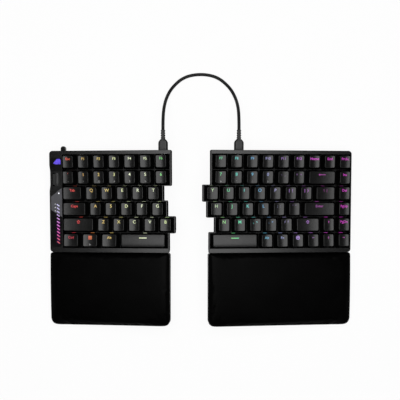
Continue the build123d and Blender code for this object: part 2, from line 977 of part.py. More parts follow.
def plug():
    """Overmould, ribbed strain relief and hollow metal tongue, pointing at the case along -y."""
    body = extrude(
        Rot(X=90) * RectangleRounded(plug_width, plug_height, plug_round), amount=-plug_length
    )
    wide_end = Pos(0, plug_length, 0) * Rot(X=90) * RectangleRounded(plug_width, plug_height, plug_round)
    neck_end = Pos(0, plug_length + plug_shoulder, 0) * Rot(X=90) * RectangleRounded(
        plug_neck_width, plug_neck_width, plug_neck_width / 2 - end_flat
    )
    middle_round = plug_round * plug_shoulder_width / plug_width
    middle = Pos(0, plug_length + plug_shoulder * plug_shoulder_share, 0) * Rot(X=90) * RectangleRounded(
        plug_shoulder_width, plug_height, middle_round
    )
    body += loft([wide_end, middle, neck_end], ruled=True)
    start = plug_length + plug_shoulder
    step = relief_length / relief_ribs
    for rib in range(relief_ribs):
        radius = relief_start_radius + (relief_end_radius - relief_start_radius) * rib / relief_ribs
        core = Cylinder(radius - relief_rib_height, step)
        ring = Cylinder(radius, step * relief_rib_share)
        along = Pos(0, start + (rib + 0.5) * step, 0) * Rot(X=90)
        body += along * core
        body += along * ring
    shell = rounded_bar(plug_tongue_width, plug_tongue_height, plug_tongue_length)
    grown = 2 * plug_tongue_wall
    bore = rounded_bar(plug_tongue_width - grown, plug_tongue_height - grown, plug_tongue_length)
    tip = Pos(0, -plug_tongue_length, 0) * (shell - bore)
    return body, tip


plug_reach = plug_length + plug_shoulder + relief_length


def plug_place(x):
    return Pos(x, block_depth + back_wall(port_z) + plug_gap, port_z)


# Mode switch


def mode_parts():
    """The switch body on the board's underside and its rounded knob outside the case."""
    blade = mode_blade_height / 2
    wall_y = block_depth + back_wall(port_z)
    half_width = mode_knob_width / 2
    face = SlotOverall(2 * mode_knob_reach, mode_knob_width)
    knob = extrude(face, amount=mode_knob_height / 2, both=True)
    knob &= block((0, field), (-field, field), (-field, field))
    knob = fillet(knob.edges().filter_by(GeomType.CIRCLE), mode_knob_round)
    knob = Pos(mode_x, wall_y + mode_clearance, port_z) * Rot(Z=90) * knob
    stem = block(
        (mode_x - half_width + mode_knob_round, mode_x + half_width - mode_knob_round),
        (wall_y - mode_knob_inside, wall_y + mode_clearance + mode_knob_round),
        (port_z - blade, port_z + blade),
    )
    knob += stem
    top = -board_depth - board_thickness
    back = wall_y - tray_wall - mode_clearance
    body = block(
        (mode_x - mode_body_width / 2, mode_x + mode_body_width / 2),
        (back - mode_body_length, back),
        (port_z - mode_knob_height / 2, top),
    )
    travel = half_width + mode_travel
    body -= block(
        (mode_x - travel, mode_x + travel),
        (back - mode_slot_depth, field),
        (port_z - blade - mode_clearance, port_z + blade + mode_clearance),
    )
    return body, knob


# Wrist rest, in the underside's frame


def rest_x(half):
    inner = half.inner_edge(row_count - 1) + half.inner_sign * rest_inner_offset
    outer = half.outer_x(half.outer_reach + rest_overhang)
    return (min(inner, outer), max(inner, outer))


def rest_face(half, inset):
    """The plan of a rest: larger corners in front, smaller ones beside the case."""
    x = rest_x(half)
    back = -front_bezel - rest_gap - inset
    front = -front_bezel - rest_gap - rest_depth + inset
    points = [
        (x[0] + inset, front),
        (x[1] - inset, front),
        (x[1] - inset, back),
        (x[0] + inset, back),
    ]
    face = make_face(Polyline(*points, close=True))
    middle = (front + back) / 2
    face = fillet([v for v in face.vertices() if v.Y < middle], rest_front_radius - inset)
    corners = [v for v in face.vertices() if abs(v.Y - back) < near]
    return fillet(corners, rest_back_radius - inset)


def tongue(x, clearance):
    """A rest's locating tongue, or its socket in the case when given a clearance."""
    return block(
        (x - tongue_width / 2 - clearance, x + tongue_width / 2 + clearance),
        (-front_bezel - rest_gap - overrun, tongue_length - front_bezel + clearance),
        (tongue_lift - clearance, tongue_lift + tongue_height + clearance),
    )


def rest_tongues(half):
    x = rest_x(half)
    return [x[0] + tongue_edge + tongue_width, x[1] - tongue_edge - tongue_width]


def rest_tray(half):
    body = prism(rest_face(half, rest_tray_inset), 0, rest_tray_height)
    for x in rest_tongues(half):
        body += tongue(x, 0)
    return body


def rest_cushion(half):
    """The soft pad: highest beside the keys, gently crowned, rounded all round its top."""
    back = -front_bezel - rest_gap
    front = back - rest_depth
    middle = (back + front) / 2
    crest = (rest_back_height + rest_front_height) / 2 + rest_crown
    profile = make_face(
        [
            Line((front, rest_tray_height), (back, rest_tray_height)),
            Line((back, rest_tray_height), (back, rest_back_height)),
            ThreePointArc((back, rest_back_height), (middle, crest), (front, rest_front_height)),
            Line((front, rest_front_height), (front, rest_tray_height)),
        ]
    )
    body = extrude(Plane.YZ * profile, amount=field / 2, both=True)
    body &= prism(rest_face(half, 0), 0, field)
    top = body.faces().sort_by(Axis.Z)[-1]
    return fillet(top.edges(), rest_top_round)


def rest_feet(half):
    """The rest's outer pads and its two inner feet."""
    x = half.outer_x(half.outer_reach - pad_inset)
    back = -front_bezel - rest_gap
    inner = half.inner_edge(row_count - 1) - half.inner_sign * tent_foot_inset
    inset = pad_end_inset + tent_foot_width / 2
    ys = [back - inset, back - rest_depth + inset]
    solids = [pad(x, y) for y in ys]
    solids += [tent_foot(inner, y, False) for y in ys]
    return solids


# Build each half, keyed by node name

nodes = {}
key_housing = housing()
key_slider = slider()
light = key_light()


def add(half, name, solids, place):
    nodes[half.name + "_" + name] = [place * solid for solid in solids]


for half in (left, right):
    deck = half.place()
    base = half.base_place()
    keys = half.all_keys()
    add(half, "upper_case", [upper_case(half)], deck)
    add(half, "lower_case", [lower_case(half)], deck)
    add(half, "switch_plate", [switch_plate(half)], deck)
    add(half, "damping_foam", [damping_foam(half)], deck)
    add(half, "circuit_board", [circuit_board(half)], deck)
    add(half, "switch_housings", [Pos(x, y, 0) * key_housing for _, x, y, _ in keys], deck)
    add(half, "stabilisers", stabilisers(half), deck)
    add(half, "key_lights", [Pos(x, y, 0) * light for _, x, y, _ in keys], deck)
    add(half, "usb_sockets", [socket_place(x) * socket() for x in half.ports], deck)
    add(half, "case_screws", case_screws(half), deck)
    pads = [above_desk(half, pad(x, y), base) for x, y in foot_pad_places(half)]
    nodes[half.name + "_rubber_feet"] = pads
    feet = [above_desk(half, tent_foot(x, y, True), base) for x, y in tent_feet_places(half)]
    nodes[half.name + "_tent_feet"] = feet
    add(half, "rest_tray", [rest_tray(half)], base)
    add(half, "rest_cushion", [rest_cushion(half)], base)
    nodes[half.name + "_rest_feet"] = [above_desk(half, foot, base) for foot in rest_feet(half)]
    for row in range(row_count):
        name = row_names[row] + "_row_keys"
        own = half is left and row_names[row] == "lower"
        limit = long_key_share if own else stabiliser_share
        add(half, name, keys_of(half, row, lambda share: share < limit), deck)

place = left.place()
pocket_floor = rim_height - cover_thickness
roller, axle, bracket = roller_parts()
add(left, "roller", [roller], place)
add(left, "roller_axle", [axle], place)
add(left, "roller_bracket", [bracket], place)
add(left, "badge_panel", [cover(badge_panel_face(), [badge_face()], pocket_floor)], place)
add(left, "badge_window", [prism(badge_face(), pocket_floor, rim_height)], place)
lights = slash_faces() + dot_faces()
add(left, "status_cover", [cover(status_face(), lights, pocket_floor)], place)
add(left, "strip_cover", [cover(strip_face(), lights, pocket_floor)], place)
add(left, "strip_lights", strip_light_solids(pocket_floor), place)
mode_body, mode_knob = mode_parts()
add(left, "mode_switch", [mode_body], place)
add(left, "mode_knob", [mode_knob], place)
cell = block(
    (battery_x, battery_x + battery_length),
    (battery_y, battery_y + battery_depth),
    (tray_floor, tray_floor + battery_height),
)
add(left, "battery", [fillet(cell.edges(), battery_round)], left.base_place())

nodes["space_left"] = [place * s for s in keys_of(left, 5, lambda share: share > long_key_share)]
place = right.place()
nodes["space_right"] = [place * s for s in keys_of(right, 5, lambda share: share > long_key_share)]
nodes["enter"] = [place * s for s in keys_of(right, 3, lambda share: share > stabiliser_share)]
nodes["backspace"] = [place * s for s in keys_of(right, 1, lambda share: share == stabiliser_share)]

body, tip = plug()
for half in (left, right):
    at = half.place() * plug_place(half.ports[0])
    nodes[half.name + "_plug"] = [at * body, at * tip]

# Centre the whole over the desk, leaving the cable out

outermost = [
    "left_rest_cushion",
    "right_rest_cushion",
    "left_upper_case",
    "right_upper_case",
    "left_mode_knob",
]
boxes = [nodes[name][0].bounding_box() for name in outermost]
low = Vector(min(b.min.X for b in boxes), min(b.min.Y for b in boxes))
high = Vector(max(b.max.X for b in boxes), max(b.max.Y for b in boxes))
centre = Pos(-(low + high) / 2)
nodes = {name: [centre * solid for solid in solids] for name, solids in nodes.items()}
print("object", high - low, "moved by", centre.position)

# The link cable: out of each plug, down to the desk, and round in one arch behind the halves


def cable_end(half, lead):
    spot = centre * half.place() * plug_place(half.ports[0]) * Pos(0, plug_reach + lead, 0)
    return spot.position


route = [cable_end(left, 0), cable_end(left, cable_lead)]
route += [Vector(*point) for point in cable_points]
route += [cable_end(right, cable_lead), cable_end(right, 0)]
print("cable leads", route[:2], route[-2:])
runs = [b - a for a, b in zip(route, route[1:])]
turns = [radians(a.get_angle(b)) for a, b in zip(runs, runs[1:])]
radii = [
    cable_arc_share * min(a.length, b.length) / tan(turn / 2)
    for a, b, turn in zip(runs, runs[1:], turns)
]
print("cable radii", [round(radius, 1) for radius in radii])
line = FilletPolyline(*route, radius=radii)
start = Plane(origin=route[0], z_dir=runs[0])
cable = sweep(start * Circle(cable_radius), path=line)
print("cable length", line.length, "volume ratio", cable.volume / (pi * cable_radius**2 * line.length))
nodes["link_cable"] = [cable]

os.makedirs("parts", exist_ok=True)
for name, solids in nodes.items():
    export_step(Compound(children=solids), "parts/" + name + ".step")
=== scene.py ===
import math

import bmesh
import bpy
import json
from mathutils import Matrix, Vector
from mathutils.bvhtree import BVHTree


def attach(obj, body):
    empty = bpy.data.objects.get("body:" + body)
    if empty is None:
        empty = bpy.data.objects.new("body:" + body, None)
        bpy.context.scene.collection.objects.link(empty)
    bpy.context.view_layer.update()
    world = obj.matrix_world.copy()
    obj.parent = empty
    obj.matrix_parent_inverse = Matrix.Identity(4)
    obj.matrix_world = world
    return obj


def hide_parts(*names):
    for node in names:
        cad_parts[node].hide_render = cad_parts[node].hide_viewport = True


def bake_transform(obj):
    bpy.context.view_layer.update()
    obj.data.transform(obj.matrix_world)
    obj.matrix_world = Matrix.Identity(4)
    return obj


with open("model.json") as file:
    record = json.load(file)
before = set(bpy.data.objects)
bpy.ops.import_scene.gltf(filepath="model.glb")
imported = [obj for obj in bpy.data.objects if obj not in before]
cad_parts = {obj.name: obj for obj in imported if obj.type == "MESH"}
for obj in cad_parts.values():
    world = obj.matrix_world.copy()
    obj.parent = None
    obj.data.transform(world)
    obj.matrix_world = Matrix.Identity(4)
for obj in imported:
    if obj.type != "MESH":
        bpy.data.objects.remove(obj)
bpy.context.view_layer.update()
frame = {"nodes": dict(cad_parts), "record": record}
nodes = frame["nodes"]
scene = bpy.context.scene

# Every place below is in millimetres in the part's frame, or in a half's deck frame: x along its
# rows, y towards the back, z square to its switch plate, from the front left of its keys.
mm = 0.001
pitch = 19.05 * mm
row_count = 6
tent_angle = math.radians(7.8)
typing_angle = math.radians(2.5)
left_deck_origin = Vector((-167.184, -14.813, 14.208)) * mm
right_deck_origin = Vector((12.232, -14.813, 35.434)) * mm

# Camera, straight above the part
camera_place = Vector((-0.5, 43.5, 1048.6)) * mm
camera_lens = 75.56
camera_sensor = 36.0

# Link cable
cable_diameter = 4.0 * mm
cable_sides = 16
left_cable_end = (-45.457, 128.9785, 28.9351)
left_cable_lead = (-45.534, 141.9661, 29.4969)
right_cable_lead = (46.921, 141.9661, 29.3069)
right_cable_end = (46.8441, 128.9785, 28.7451)
cable_points = [
    (-44.6, 157.5, 21.6),
    (-41.8, 171.0, 8.4),
    (-35.2, 184.0, 2.05),
    (-20.5, 197.0, 2.05),
    (0.4, 200.8, 2.05),
    (21.3, 197.0, 2.05),
    (36.4, 184.0, 2.05),
    (43.2, 171.0, 8.4),
    (46.2, 157.5, 21.6),
]


def make_camera():
    camera = bpy.data.objects.new("camera", bpy.data.cameras.new("camera"))
    camera.data.sensor_width = camera_sensor
    camera.data.lens = camera_lens
    camera.location = camera_place
    scene.collection.objects.link(camera)
    scene.camera = camera


make_camera()


def mesh_object(name, made):
    """A new object in the scene from a bmesh or a mesh."""
    mesh = made
    if isinstance(made, bmesh.types.BMesh):
        mesh = bpy.data.meshes.new(name)
        made.to_mesh(mesh)
        made.free()
    obj = bpy.data.objects.new(name, mesh)
    scene.collection.objects.link(obj)
    return obj


def smooth(obj):
    for polygon in obj.data.polygons:
        polygon.use_smooth = True


def spline_line(points):
    """The points along a NURBS line whose control points are the route's."""
    curve = bpy.data.curves.new("route", "CURVE")
    curve.dimensions = "3D"
    curve.resolution_u = 12
    spline = curve.splines.new("NURBS")
    spline.points.add(len(points) - 1)
    for point, place in zip(spline.points, points):
        point.co = (*(Vector(place) * mm), 1)
    spline.order_u = 3
    spline.use_endpoint_u = True
    holder = bpy.data.objects.new("route", curve)
    scene.collection.objects.link(holder)
    bpy.context.view_layer.update()
    line = bpy.data.meshes.new_from_object(holder)
    found = [vertex.co.copy() for vertex in line.vertices]
    bpy.data.objects.remove(holder)
    bpy.data.curves.remove(curve)
    bpy.data.meshes.remove(line)
    return found


def swept(name, line, radius, sides):
    """A closed round tube along a line."""
    made = bmesh.new()
    rings = []
    side = Vector((1, 0, 0))
    for i, place in enumerate(line):
        ahead = line[min(i + 1, len(line) - 1)] - line[max(i - 1, 0)]
        ahead.normalize()
        side = (side - ahead * side.dot(ahead)).normalized()
        across = ahead.cross(side)
        ring = []
        for k in range(sides):
            turn = 2 * math.pi * k / sides
            ring.append(made.verts.new(place + radius * (math.cos(turn) * side + math.sin(turn) * across)))
        rings.append(ring)
    for near, far in zip(rings, rings[1:]):
        for k in range(sides):
            after = (k + 1) % sides
            made.faces.new((near[k], near[after], far[after], far[k]))
    made.faces.new(list(reversed(rings[0])))
    made.faces.new(rings[-1])
    bmesh.ops.recalc_face_normals(made, faces=made.faces)
    obj = mesh_object(name, made)
    smooth(obj)
    return obj


def make_cable():
    route = [left_cable_end, left_cable_lead, *cable_points, right_cable_lead, right_cable_end]
    line = spline_line(route)
    cable = swept("link_cable_jacket", line, cable_diameter / 2, cable_sides)
    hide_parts("link_cable")
    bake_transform(cable)
    return cable


cable = make_cable()


class Finish:
    """A procedural material, built from noise in the object's own coordinates."""

    def __init__(self, name, **values):
        self.material = bpy.data.materials.new(name)
        self.material.use_nodes = True
        self.tree = self.material.node_tree
        self.shader = self.tree.nodes["Principled BSDF"]
        known = self.tree.nodes.new("ShaderNodeTexCoord").outputs
        self.place = known["Object"]
        for socket, value in values.items():
            self.shader.inputs[socket.replace("_", " ")].default_value = value

    def node(self, kind, **links):
        made = self.tree.nodes.new(kind)
        for socket, value in links.items():
            self.feed(made.inputs[socket.replace("_", " ")], value)
        return made

    def feed(self, socket, value):
        if isinstance(value, bpy.types.NodeSocket):
            self.tree.links.new(value, socket)
        else:
            socket.default_value = value

    def stretched(self, stretch):
        return self.node("ShaderNodeMapping", Vector=self.place, Scale=stretch).outputs["Vector"]

    def noise(self, size, detail=3.0, stretch=(1, 1, 1)):
        """Noise from 0 to 1 whose features are about size across, in metres."""
        place = self.stretched(stretch)
        made = self.node("ShaderNodeTexNoise", Vector=place, Scale=1 / size, Detail=detail)
        return made.outputs["Fac"]

    def cells(self, size, stretch=(1, 1, 1)):
        made = self.node("ShaderNodeTexVoronoi", Vector=self.stretched(stretch), Scale=1 / size)
        return made.outputs["Distance"]

    def spread(self, factor, low, high, start=0.3, end=0.7):
        """The factor between start and end, mapped to a value between low and high."""
        made = self.node("ShaderNodeMapRange", Value=factor)
        for socket, value in (("From Min", start), ("From Max", end), ("To Min", low), ("To Max", high)):
            made.inputs[socket].default_value = value
        return made.outputs["Result"]

    def maths(self, operation, *terms):
        made = self.tree.nodes.new("ShaderNodeMath")
        made.operation = operation
        for socket, term in zip(made.inputs, terms):
            self.feed(socket, term)
        return made.outputs["Value"]

    def axis(self, name):
        return self.node("ShaderNodeSeparateXYZ", Vector=self.place).outputs[name]

    def mixed(self, factor, first, second):
        made = self.tree.nodes.new("ShaderNodeMix")
        made.data_type = "RGBA"
        self.feed(made.inputs[0], factor)
        self.feed(made.inputs[6], first)
        self.feed(made.inputs[7], second)
        return made.outputs[2]

    def ramp(self, factor, stops, start, end):
        """Colours at places between start and end."""
        made = self.node("ShaderNodeValToRGB", Fac=self.spread(factor, 0, 1, start, end))
        elements = made.color_ramp.elements
        while len(elements) < len(stops):
            elements.new(1.0)
        for element, (place, colour) in zip(elements, stops):
            element.position = (place - start) / (end - start)
            element.color = shade(colour)
        return made.outputs["Color"]

    def colour(self, factor, first, second):
        self.feed(self.shader.inputs["Base Color"], self.mixed(factor, shade(first), shade(second)))
        return self

    def rough(self, factor, low, high):
        self.feed(self.shader.inputs["Roughness"], self.spread(factor, low, high))
        return self

    def bump(self, height, distance, strength=1.0):
        made = self.node("ShaderNodeBump", Height=height, Distance=distance, Strength=strength)
        normal = self.shader.inputs["Normal"]
        if normal.links:
            self.feed(made.inputs["Normal"], normal.links[0].from_socket)
        self.feed(normal, made.outputs["Normal"])
        return self


# The picture's colour encoding
toe_limit = 0.04045
toe_slope = 12.92
curve_offset = 0.055
curve_power = 2.4


def shade(colour):
    """A colour given as 0-255 in the picture's own encoding, made linear."""
    if isinstance(colour, (int, float)):
        colour = (colour, colour, colour)
    linear = []
    for value in colour:
        part = value / 255
        bright = ((part + curve_offset) / (1 + curve_offset)) ** curve_power
        linear.append(part / toe_slope if part <= toe_limit else bright)
    return (*linear, 1.0)


# Sizes of the features in the finishes, and how high their bumps stand
moulded_grain = 0.28 * mm
moulded_relief = 0.012 * mm
moulded_tone_size = 24 * mm
polish_size = 7 * mm
satin_grain = 0.3 * mm
satin_relief = 0.006 * mm
satin_tone_size = 40 * mm
scratch_size = 0.6 * mm
scratch_stretch = (0.08, 1, 1)
scratch_relief = 0.004 * mm
metal_tone_size = 5 * mm
metal_tone_drop = 25
rubber_grain = 0.5 * mm
foam_grain = 1.2 * mm
rubber_relief = 0.02 * mm
rubber_tone_size = 8 * mm
milk_grain = 0.4 * mm
milk_relief = 0.01 * mm
milk_tone_rise = 12
glow_patch_size = 1.6 * mm
glow_low_share = 0.78
glow_high_share = 1.1


def moulded(name, dark, light, rough=(0.42, 0.55), **values):
    """Moulded plastic: spark-eroded grain, slow changes of tone and places that hands have polished."""
    finish = Finish(name, **values)
    slow = finish.noise(moulded_tone_size, 2.0)
    fine = finish.noise(moulded_grain, 4.0)
    polished = finish.noise(polish_size, 3.0)
    finish.colour(finish.spread(slow, 0, 1), dark, light)
    finish.rough(finish.maths("MULTIPLY_ADD", finish.maths("SUBTRACT", polished, 0.5), 0.5, fine), *rough)
    finish.bump(fine, moulded_relief)
    return finish.material


def satin(name, dark, light, rough=(0.3, 0.4), **values):
    """The case's plastic: satin, with a faint grain."""
    finish = Finish(name, **values)
    slow = finish.noise(satin_tone_size, 2.0)
    fine = finish.noise(satin_grain, 3.0)
    finish.colour(finish.spread(slow, 0, 1), dark, light)
    finish.rough(fine, *rough)
    finish.bump(fine, satin_relief)
    return finish.material


def metal(name, tone, rough=(0.25, 0.4)):
    finish = Finish(name, Metallic=1.0)
    scratches = finish.noise(scratch_size, 4.0, scratch_stretch)
    finish.colour(finish.spread(finish.noise(metal_tone_size), 0, 1), tone, tone - metal_tone_drop)
    finish.rough(scratches, *rough)
    finish.bump(scratches, scratch_relief)
    return finish.material


def rubber(name, dark, light, grain=rubber_grain):
    finish = Finish(name, Specular_IOR_Level=0.35)
    fine = finish.noise(grain, 4.0)
    finish.colour(finish.spread(finish.noise(rubber_tone_size), 0, 1), dark, light)
    finish.rough(fine, 0.62, 0.8)
    finish.bump(fine, rubber_relief)
    return finish.material


def lit_plastic(name, colour_of, strength, base=40):
    """A lit moulding: milky plastic whose lamp is a little uneven behind it."""
    finish = Finish(name, Roughness=0.45)
    fine = finish.noise(milk_grain, 2.0)
    finish.colour(finish.spread(fine, 0, 1), base, base + milk_tone_rise)
    finish.feed(finish.shader.inputs["Emission Color"], colour_of(finish))
    patches = finish.noise(glow_patch_size, 2.0)
    uneven = finish.spread(patches, glow_low_share * strength, glow_high_share * strength)
    finish.feed(finish.shader.inputs["Emission Strength"], uneven)
    finish.bump(fine, milk_relief)
    return finish.material


def row_light(name, stops, slope, reach, strength):
    """A lit moulding whose colour runs along the rows and leans with them, as the lamps under it do."""

    def colour_of(finish):
        back = finish.maths("SUBTRACT", finish.axis("Y"), light_level_y)
        along = finish.maths("MULTIPLY_ADD", back, slope, finish.axis("X"))
        return finish.ramp(along, [(x * mm, tone) for x, tone in stops], reach[0] * mm, reach[1] * mm)

    return lit_plastic(name, colour_of, strength)


left_light_stops = [
    (-180, (195, 30, 55)),
    (-166, (228, 46, 52)),
    (-160, (236, 84, 60)),
    (-154, (212, 122, 58)),
    (-142, (212, 178, 96)),
    (-124, (224, 196, 108)),
    (-112, (214, 210, 132)),
    (-102, (226, 236, 176)),
    (-88, (236, 246, 208)),
    (-66, (228, 238, 196)),
    (-59, (216, 236, 160)),
    (-52, (126, 218, 122)),
    (-46, (104, 204, 104)),
]
right_light_stops = [
    (4, (186, 202, 166)),
    (12, (128, 216, 118)),
    (22, (90, 205, 138)),
    (31, (84, 200, 160)),
    (42, (80, 196, 186)),
    (50, (96, 176, 178)),
    (61, (76, 154, 196)),
    (72, (118, 140, 186)),
    (82, (152, 146, 194)),
    (98, (142, 106, 176)),
    (112, (152, 98, 180)),
    (121, (184, 98, 204)),
    (136, (218, 62, 208)),
    (158, (198, 40, 184)),
]
left_light_reach = (-182, -44)
right_light_reach = (2, 160)
left_light_slope = 0.25
right_light_slope = 0.25
light_level_y = 90 * mm

# The bar's strip lights, from front to back
strip_stops = [
    (-9, (214, 82, 90)),
    (-2, (222, 70, 130)),
    (6, (232, 90, 190)),
    (14, (226, 120, 222)),
    (21, (214, 150, 232)),
    (27, (196, 176, 236)),
    (40, (206, 208, 246)),
    (47, (250, 250, 255)),
]
strip_reach = (-12, 50)
dot_limit_x = -176.3 * mm
dot_colour = (226, 226, 232)


def strip_colour(finish):
    stops = [(y * mm, tone) for y, tone in strip_stops]
    along = finish.ramp(finish.axis("Y"), stops, strip_reach[0] * mm, strip_reach[1] * mm)
    dots = finish.maths("LESS_THAN", finish.axis("X"), dot_limit_x)
    return finish.mixed(dots, along, shade(dot_colour))


badge_cloud_size = 3.2 * mm


def badge_colour(finish):
    cloud = finish.noise(badge_cloud_size, 1.0)
    return finish.mixed(finish.spread(cloud, 0, 1), shade((62, 34, 200)), shade((96, 62, 245)))


# The strip's light is painted into its gloss cover as an emitted glow
strip_glow_x = -174.0 * mm
strip_glow_width = 4.2 * mm
strip_glow_front = -12 * mm
strip_glow_back = 20 * mm
strip_glow_strength = 0.13
smear_size = 9 * mm
gloss_tone_size = 30 * mm
gloss_wave_size = 12 * mm
gloss_relief = 0.02 * mm


def gloss_cover(name):
    """Polished black plastic, with a few smears and a painted glow from the strip beside it."""
    finish = Finish(name, Specular_IOR_Level=0.4)
    smears = finish.noise(smear_size, 3.0)
    finish.colour(finish.spread(finish.noise(gloss_tone_size, 2.0), 0, 1), 4, 8)
    finish.rough(smears, 0.1, 0.2)
    finish.bump(finish.noise(gloss_wave_size, 2.0), gloss_relief)
    # Painted glow: the cover emits in a patch beside the strip, fading away from it and towards its ends
    along = finish.axis("Y")
    aside = finish.maths("ABSOLUTE", finish.maths("SUBTRACT", finish.axis("X"), strip_glow_x))
    near_strip = finish.maths("POWER", finish.spread(aside, 1, 0, 0, strip_glow_width), 2.0)
    front = finish.spread(along, 0, 1, strip_glow_front, strip_glow_front + strip_glow_width)
    back = finish.spread(along, 1, 0, strip_glow_back - strip_glow_width, strip_glow_back)
    here = finish.maths("MULTIPLY", finish.maths("MULTIPLY", front, back), near_strip)
    glow = finish.mixed(here, shade((60, 20, 120)), shade((190, 40, 190)))
    strength = finish.maths("MULTIPLY", here, strip_glow_strength)
    finish.feed(finish.shader.inputs["Emission Color"], glow)
    finish.feed(finish.shader.inputs["Emission Strength"], strength)
    return finish.material


finishes = {
    "case_upper": satin("case_upper", 8, 12, (0.21, 0.27), Specular_IOR_Level=0.36),
    "case_lower": moulded("case_lower", 10, 15, (0.62, 0.75), Specular_IOR_Level=0.12),
    "plate": satin("plate", 14, 20, (0.4, 0.5), Specular_IOR_Level=0.25),
    "foam": rubber("foam", 12, 18, foam_grain),
    "board": moulded("board", (12, 24, 18), (15, 30, 22), (0.35, 0.5)),
    "switch_housing": moulded("switch_housing", 10, 16, (0.4, 0.5), Specular_IOR_Level=0.25),
    "stabiliser": moulded("stabiliser", 12, 18, Specular_IOR_Level=0.25),
    "steel_shell": metal("steel_shell", 190),
    "screw_steel": metal("screw_steel", 120),
    "foot_rubber": rubber("foot_rubber", 18, 26),
    "tent_foot": rubber("tent_foot", 22, 30),
    "plug_mould": satin("plug_mould", 22, 30, (0.34, 0.42), Specular_IOR_Level=0.3),
    "rest_tray": moulded("rest_tray", 8, 12, (0.6, 0.7), Specular_IOR_Level=0.1),
    "rest_foot": rubber("rest_foot", 16, 24),
    "roller": satin("roller", 22, 30, (0.34, 0.42), Specular_IOR_Level=0.3),
    "axle_steel": metal("axle_steel", 170),
    "bracket": moulded("bracket", 24, 34),
    "gloss_panel": gloss_cover("gloss_panel"),
    "status_grey": moulded("status_grey", (76, 76, 80), (84, 84, 88), (0.22, 0.28), Specular_IOR_Level=0.45),
    "switch_block": moulded("switch_block", 14, 20),
    "mode_knob": moulded("mode_knob", 12, 18, (0.12, 0.2), Specular_IOR_Level=0.5),
    "battery_wrap": moulded("battery_wrap", (120, 124, 130), (140, 144, 150), (0.3, 0.4)),
    "cable_jacket": moulded("cable_jacket", 8, 12, (0.4, 0.5), Specular_IOR_Level=0.16),
    "keycap": moulded("keycap", 7, 11, (0.21, 0.28), Specular_IOR_Level=0.33),
    "badge_light": lit_plastic("badge_light", badge_colour, 1.0),
    "strip_light": lit_plastic("strip_light", strip_colour, 1.0),
    "key_light": row_light("key_light", left_light_stops, left_light_slope, left_light_reach, 0.7),
}
right_key_light = row_light("right_key_light", right_light_stops, right_light_slope, right_light_reach, 0.7)
legend_strengths = {"lit": 1.15, "dim": 0.5, "bright": 1.9}


def legend_finishes(side, stops, slope, reach):
    """The lit legends' finishes by lamp, and the printed marks' finish."""
    made = {}
    for kind, strength in legend_strengths.items():
        made[kind] = row_light(f"{side}_{kind}_legend", stops, slope, reach, strength)
    made["printed"] = moulded(f"{side}_printed_mark", 120, 150, (0.5, 0.6))
    return made


left_lights = legend_finishes("left", left_light_stops, left_light_slope, left_light_reach)
right_lights = legend_finishes("right", right_light_stops, right_light_slope, right_light_reach)

# The faces of these that turn away from up take painted shade: a darker, duller copy of their finish with no
# specular, which keeps them near black
shaded_side_slots = ("case_upper", "keycap", "plug_mould")
right_keys = ("space_right", "enter", "backspace")
# Painted shade for side faces: darker than the tops, rough, with no specular
side_shade_finish = moulded("painted_shade_side", 4, 7, (0.6, 0.75), Specular_IOR_Level=0.0)
side_limit = 0.75


def dressed(obj, finish):
    obj.data.materials.clear()
    obj.data.materials.append(finish)


def paint_side_shade(obj, up):
    """Gives the faces that turn away from up the darker, duller finish of painted shade."""
    obj.data.materials.append(side_shade_finish)
    for polygon in obj.data.polygons:
        polygon.material_index = int(polygon.normal.dot(up) < side_limit)


def dress_nodes():
    """Each CAD node keeps its mesh and takes the finish of its material slot."""
    for part in frame["record"]["subparts"]:
        name, slot = part["node"], part["material_slot"]
        if slot in finishes:
            dressed(nodes[name], finishes[slot])
        # The sides of these nodes take painted shade
        if slot in shaded_side_slots:
            right = name.startswith("right") or name in right_keys
            turn = tent_angle if right else -tent_angle
            up = Matrix.Rotation(turn, 3, "Y") @ Matrix.Rotation(typing_angle, 3, "X") @ Vector((0, 0, 1))
            paint_side_shade(nodes[name], up)
    dressed(nodes["right_key_lights"], right_key_light)


dress_nodes()
dressed(cable, finishes["cable_jacket"])


# Legends on the caps
letter_size = 5.3 * mm
word_size = 4.3 * mm
mark_size = 3.1 * mm
legend_back = 3.8 * mm
mark_front = 4.5 * mm
legend_thickness = 0.10 * mm
legend_lift = 0.05 * mm
legend_edge = 1.2 * mm
ray_start = 40 * mm
bold_share = 0.003

left_rows = [[1] * 7, [1] * 7, [1.5] + [1] * 5, [1.75] + [1] * 5, [2.25] + [1] * 5, [1.25] * 3 + [3.1]]
right_rows = [
    [1] * 9,
    [1] * 6 + [2, 1],
    [1] * 7 + [1.5, 1],
    [1] * 6 + [2.25, 1],
    [1] * 5 + [1.75, 1, 1],
    [3.1] + [1] * 6,
]
left_starts = [0] * 6
right_starts = [0, 0, -0.5, -0.25, 0.25, -0.1]
row_names = ["function", "number", "upper", "home", "lower", "bottom"]
left_words = [
    ["Esc", "F1", "F2", "F3", "F4", "F5", "F6"],
    ["`", "1", "2", "3", "4", "5", "6"],
    ["Tab", "Q", "W", "E", "R", "T"],
    ["Caps", "A", "S", "D", "F", "G"],
    ["shift", "Z", "X", "C", "V", "B"],
    ["Ctrl", "menu", "Alt", "dash"],
]
right_words = [
    ["F7", "F8", "F9", "F10", "F11", "F12", "Home", "End", "PrtSc"],
    ["7", "8", "9", "0", "-  _", "=  +", "back", "Ins"],
    ["Y", "U", "I", "O", "P", "[  {", "]  }", "\\  |", "Del"],
    ["H", "J", "K", "L", ";  :", "'  \"", "Enter", "PgUp"],
    ["N", "M", ",  <", ".  >", "/  ?", "shift", "up", "PgDn"],
    ["dash", "Alt", "Fn", "ring", "left", "down", "right"],
]
